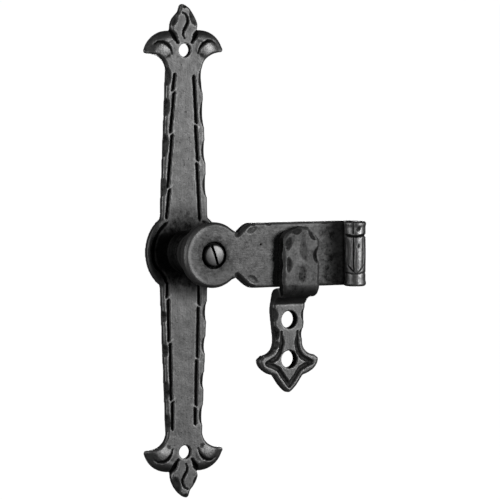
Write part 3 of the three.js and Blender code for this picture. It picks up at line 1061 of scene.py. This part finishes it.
        face.facet((vein - 2.3, 11.3), 3.4, 2.2, 60, 0.3)
        face.dome(((seam + vein) / 2, -2.2), (2.2, 6.6), 0, 0.22)
        on_grip = (points[:, 0] > self.grip_x - self.grip_radius + 0.2) & (radius > 3.2)
        front = held((100 - np.abs(around)) / 15)
        share = on_grip * front * held((radius - 3.2) / 1.2)
        change = 1 - np.clip(face.depth, -0.3, 1) * share / np.maximum(radius, 1)
        points[:, 0] = np.where(share > 0, self.grip_x + dx * change, points[:, 0])
        points[:, 1] = np.where(share > 0, y + dy * change, points[:, 1])
        handled = held(0.45 + 0.25 * np.cos(np.radians(around) * 5 + 1)) * (face.soot_and_shade < 0.3)
        return face.soot_and_shade * share, np.maximum(face.shine, handled) * share

    def build(self) -> bpy.types.Object:
        """Cuts the strap, rolls its end, bores the eye, knits the skin and works it."""
        front = self.back + self.thickness
        piece = slab("latch_arm_forged", grown(self.outline(), self.margin), self.back, front)
        carve(piece, self.grip(), "UNION")
        recess_radius, recess_depth = self.recess
        carve(piece, cross_bar(recess_radius, 0, 0, front - recess_depth, front + 1))
        carve(piece, cross_bar(self.bore, 0, 0, self.back - 1, front))
        knit(piece, self.grain, rounding=3)
        points = read_points(piece)
        strap_soot_and_shade, strap_shine = self.work_strap(points)
        grip_soot, grip_shine = self.work_grip(points)
        level = held((self.grip_x - self.grip_radius - points[:, 0]) * 2)
        write_points(piece, points)
        hammer(piece, 6, 0.14)
        shade(piece)
        read_wear_and_shade(piece, np.maximum(strap_soot_and_shade, grip_soot), np.maximum(strap_shine, grip_shine))
        mark(piece, "level", level)
        return piece

    def dress(self, piece: bpy.types.Object) -> None:
        """Finishes the arm and fits it to the frame."""
        fit(piece, BODY_ARM, Finish.FORGED_IRON, "latch_arm")


# ---------------------------------------------------------------------------------------------------------
# Keeper
# ---------------------------------------------------------------------------------------------------------


@dataclass
class Keeper:
    """The catch: a foot with an arrow-shaped end, bent forward to a shelf and up into a hammered horn."""

    middle: float = 41.7
    thickness: float = 4.5
    back: float = 19.0
    horn_back: float = 31.3
    horn_x: float = 41.1
    horn_half: float = 9.3
    horn_top: float = 11.7
    horn_corner: float = 3.0
    shelf_z: float = -15.7
    shelf_bend: float = 11.5
    underside_z: float = -20.0
    crease_z: float = -23.4
    horn_bend: float = 6.2
    slot_corner: float = 0.8
    tip_z: float = -63.0
    hole_radius: float = 3.9
    holes: tuple[float, float] = (-30.5, -48.2)
    blank_width: float = 40.0
    grain: float = 0.26
    margin: float = 0.15

    def edge(self, side: int) -> Path:
        """One edge, from the point at the bottom up to the middle of the horn's top."""

        def at(x: float, z: float) -> Point:
            """The place at x outwards from the keeper's middle."""
            return (self.middle + side * x, z)

        horn = self.horn_x + side * self.horn_half
        corners = [
            ((0, self.tip_z), (3.4, -61.2), (5.4, -57.2), (7, -55.3)),
            ((7, -55.3), (11.5, -54.1), (14.7, -51.6), (14.7, -48.2)),
            ((12.7, -46.6), (8.4, -46.2), (6.5, -43.6), (6.5, -39.4)),
            ((6.5, -39.4), (6.5, -35.5), (7.8, -33.5), (7.9, self.crease_z)),
        ]
        path = [at(0, self.tip_z)]
        for start, pull_a, pull_b, end in corners:
            if math.dist(path[-1], at(*start)) > 0.01:
                path.append(at(*start))
            path += curve(at(*start), at(*pull_a), at(*pull_b), at(*end))
        path += curve(path[-1], at(8, -19), (horn, -18), (horn, -14), 8)
        path.append((horn, self.horn_corner))
        crown = (self.horn_x, self.horn_top)
        path += curve(path[-1], (horn, 8.5), (self.horn_x + side * 5.2, self.horn_top), crown)
        return path

    def outline(self) -> Path:
        """The whole edge, seen from the front."""
        return self.edge(1) + self.edge(-1)[1:-1][::-1]

    def side_view(self) -> Path:
        """The bent strip from its side, as (distance in front of the mounting plane, height)."""
        front = self.back + self.thickness
        horn_front = self.horn_back + self.thickness
        bend = (self.back + self.shelf_bend, self.shelf_z - self.shelf_bend)
        slot = (self.horn_back - self.slot_corner, self.shelf_z + self.slot_corner)
        toe = (horn_front - self.horn_bend, self.underside_z + self.horn_bend)
        path = [(self.back, self.tip_z - 1)]
        path += arc(bend, self.shelf_bend, 180, 90, 20)
        path += arc(slot, self.slot_corner, -90, 0, 6)
        path += [(self.horn_back, self.horn_top + 1), (horn_front, self.horn_top + 1)]
        path += arc(toe, self.horn_bend, 0, -90, 16)
        crease = (front, self.crease_z)
        path += curve(path[-1], (front + 3, self.underside_z), (front + 1.5, self.crease_z + 1.9), crease)
        path.append((front, self.tip_z - 1))
        return path

    def blank(self) -> bpy.types.Object:
        """The bent strip, trimmed to its outline."""
        start = self.middle - self.blank_width / 2
        piece = loop("keeper_forged", [(start, -out, z) for out, z in self.side_view()])
        bpy.ops.mesh.edge_face_add()
        bpy.ops.mesh.extrude_region_move(TRANSFORM_OT_translate={"value": (self.blank_width * MM, 0, 0)})
        close_up(merge=0.0)
        plan = grown(self.outline(), self.margin)
        carve(piece, slab("plan", plan, self.back - 2, self.horn_back + 8), "INTERSECT")
        return piece

    def star(self) -> Path:
        """The groove on the foot: down one side, out into both arms, to the point and back up."""
        half = [(4.1, -36.0), (3.7, -41.2), (4.6, -45.0), (6.4, -47.4), (9.8, -49.2), (11.2, -49.9)]
        half += [(8.4, -51.0), (5.4, -52.6), (3.4, -55.6), (0.2, -59.6)]
        left = [(-x, z) for x, z in half]
        return moved(left + [(0.0, -59.8)] + half[::-1], self.middle)

    def work(self, piece: bpy.types.Object) -> tuple[np.ndarray, np.ndarray]:
        """Works the foot and the horn from the front; returns the scale with painted shade, and the shine
        with painted highlights, left on them.
        """
        points = read_points(piece)
        face = Relief(points[:, 0], points[:, 2])
        edge, _ = distance_to(face.x, face.z, self.outline(), closed=True)
        face.fall_off(edge, 1.2, 0.5)
        face.groove(self.star(), 2.5, 1.0, taper=0.07, soot_and_shade=0.6)
        left = np.where((face.x < self.middle) & (face.z < -24), edge, 99.0)
        for middle, length in ((-28.2, 6.4), (-36.4, 6.2), (-41.8, 3.6)):
            face.nick(left, middle, length, 2.2, 0.9)
        right = np.where((face.x > self.middle) & (face.z < -24), edge, 99.0)
        for middle, length in ((-28.4, 6.0), (-36.8, 5.0)):
            face.nick(right, middle, length, 2.0, 1.0)
        for z in self.holes:
            face.fall_off(np.abs(np.hypot(face.x - self.middle, face.z - z) - self.hole_radius), 0.7, 0.25)
        foot = face.depth * (face.z < self.crease_z + 0.2)
        foot_soot_and_shade = face.soot_and_shade * (face.z < self.crease_z)
        foot_share = held((-points[:, 1] - self.back) / self.thickness)

        horn = Relief(face.x, face.z)
        horn.fall_off(edge, 1.7, 0.8, power=1.5)
        presses = (
            ((41.9, 0.9), 10.5, 5.0, -6, 0.36),
            ((41.4, -9.6), 9.0, 4.4, 4, 0.32),
            ((34.2, 4.2), 6.6, 4.2, 18, 0.6),
            ((34.5, -5.2), 7.6, 3.9, 0, 0.5),
            ((49.4, -1.2), 8.0, 4.6, 8, 0.6),
            ((38.7, 10.2), 3.6, 5.4, 0, 0.7),
            ((46.6, 8.2), 6.6, 3.0, -38, 0.7),
        )
        for k, (centre, length, width, lean, depth) in enumerate(presses):
            horn.facet(centre, length, width, lean, depth, soot_and_shade=0.55 if k < 2 else 0.78)
        horn.blacken(0.3 + 0.15 * held((face.z - 5) / 5))
        horn.brighten(0.1)
        # A painted highlight along the horn's left edge.
        left_edge_highlight = held(1 - np.abs(edge - 1.2) / 0.7) * (face.x < self.horn_x - 5)
        horn.brighten(left_edge_highlight * (0.5 + 0.25 * np.sin(face.z * 0.9)))
        horn_share = held((-points[:, 1] - self.horn_back) / self.thickness) * (face.z > -19)
        horn_share *= held((face.z + 19) / 3)
        points[:, 1] += foot * foot_share + horn.depth * horn_share
        on_horn = (points[:, 1] < -self.horn_back + 0.3) & (face.z > -19.5)
        bites = (
            (49.9, -1.0, 4.2, 1.3), (47.6, 8.6, 3.6, 1.0), (37.6, 11.0, 3.6, 0.9), (32.4, 3.4, 3.2, 0.8),
            (32.2, -5.4, 3.2, 0.7), (50.2, -12.0, 3.0, 0.5), (31.0, -17.5, 5.0, 1.2),
        )
        for x, z, reach, bite in bites:
            pull = bite * held(1 - np.hypot(face.x - x, face.z - z) / reach) ** 0.8 * on_horn
            toward = np.maximum(np.hypot(self.horn_x - face.x, -2 - face.z), 1)
            points[:, 0] += pull * (self.horn_x - face.x) / toward
            points[:, 2] += pull * (-2 - face.z) / toward * (face.z > 4)
        write_points(piece, points)
        # The bend below the shelf darkened, more on its left: painted shade.
        in_bend = held((face.z - self.crease_z) / 1.5) * held((-12.2 - face.z) / 2.2)
        bend_shade = in_bend * (0.44 - 0.24 * held((face.x - 41) / 8))
        foot_soot_and_shade = np.maximum(foot_soot_and_shade * foot_share, bend_shade)
        # The horn's side walls set almost black: painted shade.
        wall_shade = held((np.abs(read_normals(piece)[:, 0]) - 0.75) / 0.2) * on_horn
        foot_soot_and_shade = np.maximum(foot_soot_and_shade, 0.92 * wall_shade)
        # The drilled holes' walls set almost black: painted shade.
        for z in self.holes:
            drilled = np.hypot(face.x - self.middle, face.z - z) < self.hole_radius + 0.15
            foot_soot_and_shade = np.where(drilled, 0.95, foot_soot_and_shade)
        shine = np.maximum(face.shine * foot_share * (face.z < self.crease_z), horn.shine * horn_share)
        lit_crease = held(1 - np.abs(face.z + 24.0) / 0.45) * foot_share
        return np.maximum(foot_soot_and_shade, horn.soot_and_shade * horn_share), np.maximum(shine, 0.35 * lit_crease)

    def build(self) -> bpy.types.Object:
        """Bends and trims the strip, drills the foot, knits the skin and works it."""
        piece = self.blank()
        for z in self.holes:
            carve(piece, cross_bar(self.hole_radius, self.middle, z, self.back - 1, self.horn_back))
        knit(piece, self.grain, rounding=4)
        soot_and_shade, shine = self.work(piece)
        hammer(piece, 5, 0.2)
        seat(piece, self.back)
        shade(piece)
        read_wear_and_shade(piece, soot_and_shade, shine, blur=3, gain=4.0)
        return piece

    def dress(self, piece: bpy.types.Object) -> None:
        """Finishes the keeper and fits it to the frame."""
        fit(piece, BODY_FIXED, Finish.FORGED_IRON, "keeper")


# ---------------------------------------------------------------------------------------------------------
# Pivot
# ---------------------------------------------------------------------------------------------------------


@dataclass
class PivotPost:
    """The standoff: a tenon through the plate, a foot, a bead, and a flare up to the arm."""

    reach: float = 24.5
    tenon: float = 5.0
    foot: float = 9.5
    waist: float = 8.3
    bead: float = 9.7
    head: float = 13.0
    bore: float = 3.15
    bore_depth: float = 17.0
    sides: int = 144
    grain: float = 0.26

    def profile(self) -> Path:
        """The turned shape from the tenon's end to the bottom of the screw hole."""
        z = 3.15
        path = [(0, 0), (self.tenon - 0.3, 0), (self.tenon, 0.3), (self.tenon, z), (self.foot - 0.3, z)]
        path += [(self.foot, z + 0.3), (self.foot, z + 1.3), (self.foot - 0.3, z + 1.6)]
        path += curve(path[-1], (self.waist + 0.2, z + 2), (self.waist, z + 2.6), (self.waist, z + 4), 6)
        path += curve(path[-1], (self.waist, z + 4.8), (self.bead, z + 5.1), (self.bead, z + 6), 6)
        neck = self.waist + 0.5
        path += curve(path[-1], (self.bead, z + 6.8), (neck, z + 6.9), (neck, z + 7.6), 6)
        head_z = z + 20.4
        flare = ((self.waist + 1, z + 12), (self.head - 1.6, z + 17.6), (self.head, head_z - 0.3))
        path += curve(path[-1], *flare, 18)
        path += [(self.head, self.reach - 0.4), (self.head - 0.4, self.reach)]
        path.append((self.bore + 0.4, self.reach))
        floor = self.reach - self.bore_depth
        path += [(self.bore, self.reach - 0.4), (self.bore, floor), (0, floor)]
        return path

    def build(self) -> bpy.types.Object:
        """Spins the post, knits its skin and beats it a little out of true."""
        piece = turned("pivot_post_forged", self.profile(), self.sides)
        knit(piece, self.grain, rounding=1)
        hammer(piece, 4, 0.12)
        seat(piece, 0)
        shade(piece)
        points = read_points(piece)
        reach, radius = -points[:, 1], np.hypot(points[:, 0], points[:, 2])
        hollow = np.zeros(len(points))
        for middle, half in ((6.6, 1.9), (10.9, 1.7)):
            hollow = np.maximum(hollow, held(1 - np.abs(reach - middle) / half) ** 0.7)
        crest = held(1 - np.abs(reach - 13.5) / 1.2)
        # Painted shadow of the arm over the post's inner part; its two hollows keep black scale.
        shadow_near_plate = held((13 - reach) / 3)
        soot_and_shade = np.where(radius > self.waist - 1, np.maximum(0.42, 0.94 * np.maximum(hollow, shadow_near_plate)), 0.6)
        read_wear_and_shade(piece, soot_and_shade, 0.5 * crest, blur=1, gain=2.5)
        return piece

    def dress(self, piece: bpy.types.Object) -> None:
        """Finishes the post and fits it to the frame."""
        fit(piece, BODY_FIXED, Finish.FORGED_IRON, "pivot_post")


@dataclass
class Ring:
    """A flat turned ring on the pivot axis with eased corners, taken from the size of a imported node."""

    node: str
    finish: Finish
    inner: float
    ease: float = 0.15
    slit: float = 0.0
    slit_lean: float = 18.0
    soot_and_shade: float = 0.15
    sides: int = 96

    def build(self) -> bpy.types.Object:
        """Spins the ring to the node's own box, and slits it if it is a split washer."""
        low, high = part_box(self.node)
        outer = (high.x - low.x) / 2 / MM
        near, far = -high.y / MM, -low.y / MM
        e = self.ease
        profile = [(self.inner, near + e), (self.inner + e, near), (outer - e, near), (outer, near + e)]
        profile += [(outer, far - e), (outer - e, far), (self.inner + e, far), (self.inner, far - e)]
        piece = turned(self.node + "_turned", profile, self.sides)
        if self.slit > 0:
            carve(piece, self.blade(outer, near, far))
        shade(piece, 30)
        read_wear_and_shade(piece, self.soot_and_shade, blur=1, gain=1.0)
        return piece

    def blade(self, outer: float, near: float, far: float) -> bpy.types.Object:
        """The thin block that slits a split washer, leaning as its two ends do."""
        size = (self.slit, (far - near) * 4, outer)
        return block(size, (0, -(near + far) / 2, -outer * 0.8), (0, 0, self.slit_lean))

    def dress(self, piece: bpy.types.Object) -> None:
        """Finishes the ring and fits it to the frame."""
        fit(piece, BODY_FIXED, self.finish, self.node)


@dataclass
class PivotScrew:
    """The slotted screw: a low domed head on a shank."""

    head_radius: float = 4.85
    head_thickness: float = 1.9
    dome: float = 0.45
    slot_width: float = 1.25
    slot_depth: float = 1.2
    slot_tilt: float = 19.0
    shank: float = 3.0
    sides: int = 128

    def build(self) -> bpy.types.Object:
        """Spins the screw, eases its rim and saws its slot."""
        low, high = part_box("pivot_screw")
        end = -high.y / MM
        top = -low.y / MM
        rim = top - self.dome
        under = rim - self.head_thickness
        r = self.head_radius
        profile = [(0, end), (self.shank - 0.6, end), (self.shank, end + 0.6), (self.shank, under)]
        profile += [(r - 0.15, under), (r, under + 0.15), (r, rim - 0.35)]
        profile += [(r - 0.12, rim - 0.1), (r - 0.4, rim)]
        profile += curve(profile[-1], (r * 0.7, rim + self.dome * 0.6), (r * 0.3, top), (0, top), 10)
        piece = turned("pivot_screw_turned", profile, self.sides)
        carve(piece, self.saw(top))
        shade(piece, 30)
        points = read_points(piece)
        radius = np.hypot(points[:, 0], points[:, 2])
        below = -points[:, 1] < rim - 0.3
        in_slot = (-points[:, 1] < top - 0.7) & (radius < r - 0.3)
        # The head's underside, its slot and its rim darkened: painted shade.
        soot_and_shade = np.where(below | in_slot, 0.95, np.clip((radius - r + 0.75) / 0.5, 0, 0.9))
        read_wear_and_shade(piece, soot_and_shade, blur=0, gain=0.4)
        return piece

    def saw(self, top: float) -> bpy.types.Object:
        """The blade that cuts the slot, leaning back from upright."""
        size = (self.slot_width, 2 * self.slot_depth, 3 * self.head_radius)
        return block(size, (0, -top, 0), (0, -self.slot_tilt, 0))

    def dress(self, piece: bpy.types.Object) -> None:
        """Finishes the screw and fits it to the frame."""
        fit(piece, BODY_FIXED, Finish.SCREW_STEEL, "pivot_screw")


# ---------------------------------------------------------------------------------------------------------
# Studio
# ---------------------------------------------------------------------------------------------------------


@dataclass
class Studio:
    """A pale floor, soft lights and the camera."""

    azimuth: float = -28.0
    elevation: float = 3.95
    distance: float = 2600.0
    plate_front: float = 3.0
    aim_right: float = 28.81
    aim_up: float = 0.7
    lens: float = 420.8
    floor_drop: float = 0.32
    lamp_distance: float = 1.3

    def camera(self) -> None:
        """Stands the camera left of the latch, a little above it."""
        az, el = math.radians(self.azimuth), math.radians(self.elevation)
        away = Vector((math.sin(az) * math.cos(el), -math.cos(az) * math.cos(el), math.sin(el)))
        right = Vector((math.cos(az), math.sin(az), 0))
        up = away.cross(right)
        front = Vector((0, -self.plate_front, 0))
        target = front + right * self.aim_right + up * self.aim_up
        data = bpy.data.cameras.new("camera")
        data.lens = self.lens
        data.sensor_width = 36.0
        data.clip_start, data.clip_end = 0.05, 100
        camera = bpy.data.objects.new("camera", data)
        bpy.context.scene.collection.objects.link(camera)
        camera.location = (front + away * self.distance) * MM
        look = (target * MM) - camera.location
        camera.rotation_mode = "QUATERNION"
        camera.rotation_quaternion = look.to_track_quat("-Z", "Y")
        bpy.context.scene.camera = camera

    def light(self, name: str, azimuth: float, elevation: float, size: float, power: float) -> None:
        """Hangs one square soft light that faces the latch.

        Args:
            name: The light's name.
            azimuth: Its place round the latch, in degrees from straight in front towards the grip.
            elevation: Its height above the pivot, in degrees.
            size: The side of its square, in metres.
            power: Its power in watts.
        """
        az, el = math.radians(azimuth), math.radians(elevation)
        place = Vector((math.sin(az) * math.cos(el), -math.cos(az) * math.cos(el), math.sin(el)))
        place *= self.lamp_distance
        data = bpy.data.lights.new(name, "AREA")
        data.shape = "SQUARE"
        data.size = size
        data.energy = power
        lamp = bpy.data.objects.new(name, data)
        lamp.visible_camera = False
        bpy.context.scene.collection.objects.link(lamp)
        lamp.location = place
        lamp.rotation_mode = "QUATERNION"
        aim = Vector((0.03, -0.02, 0)) - place
        lamp.rotation_quaternion = aim.to_track_quat("-Z", "Y")

    def world(self) -> None:
        """A white backdrop to the eye that lights the latch only dimly."""
        world = bpy.data.worlds.new("studio")
        bpy.context.scene.world = world
        world.use_nodes = True
        tree = world.node_tree
        tree.nodes.clear()
        output = tree.nodes.new("ShaderNodeOutputWorld")
        backdrop = tree.nodes.new("ShaderNodeBackground")
        backdrop.inputs["Color"].default_value = (1, 1, 1, 1)
        room = tree.nodes.new("ShaderNodeBackground")
        room.inputs["Color"].default_value = grey(0.018)
        mix = tree.nodes.new("ShaderNodeMixShader")
        path = tree.nodes.new("ShaderNodeLightPath")
        tree.links.new(path.outputs["Is Camera Ray"], mix.inputs["Fac"])
        tree.links.new(room.outputs[0], mix.inputs[1])
        tree.links.new(backdrop.outputs[0], mix.inputs[2])
        tree.links.new(mix.outputs[0], output.inputs["Surface"])

    def floor(self) -> None:
        """Lays the pale floor well below the latch."""
        bpy.ops.object.select_all(action="DESELECT")
        bpy.ops.mesh.primitive_plane_add(size=40, location=(0, 0, -self.floor_drop))
        floor = bpy.context.object
        floor.name = "floor"
        sh = Shader("pale_floor")
        sh.set(Base_Color=grey(0.85), Roughness=0.9)
        sh.set(Emission_Color=grey(1.0), Emission_Strength=1.0)
        floor.data.materials.append(sh.material)
        floor.visible_diffuse = False
        floor.visible_glossy = False

    def build(self) -> None:
        """Sets up the camera, floor, lights and backdrop."""
        self.camera()
        self.floor()
        self.world()
        self.light("key", azimuth=34, elevation=7, size=0.42, power=8.2)
        self.light("rim", azimuth=-80, elevation=8, size=0.5, power=6.5)
        self.light("back", azimuth=152, elevation=-4, size=0.5, power=9)
        bpy.context.scene.view_settings.view_transform = "Standard"


# ---------------------------------------------------------------------------------------------------------
# Assembly
# ---------------------------------------------------------------------------------------------------------


def main() -> None:
    """Builds and dresses every piece of the latch, then the studio round it."""
    logging.basicConfig(level=logging.INFO, format="%(message)s")
    parts = [
        BackPlate(),
        PivotPost(),
        Ring(node="thrust_washer", finish=Finish.PLAIN_STEEL, inner=4.65),
        Ring(node="pivot_bush", finish=Finish.PLAIN_STEEL, inner=3.1),
        LatchArm(),
        # The split washer set almost black: painted shade in the recess.
        Ring(node="spring_washer", finish=Finish.PLAIN_STEEL, inner=3.25, slit=0.8, soot_and_shade=0.9),
        PivotScrew(),
        Keeper(),
    ]
    for part in parts:
        part.dress(part.build())
    Studio().build()


if __name__ == "__main__":
    main()
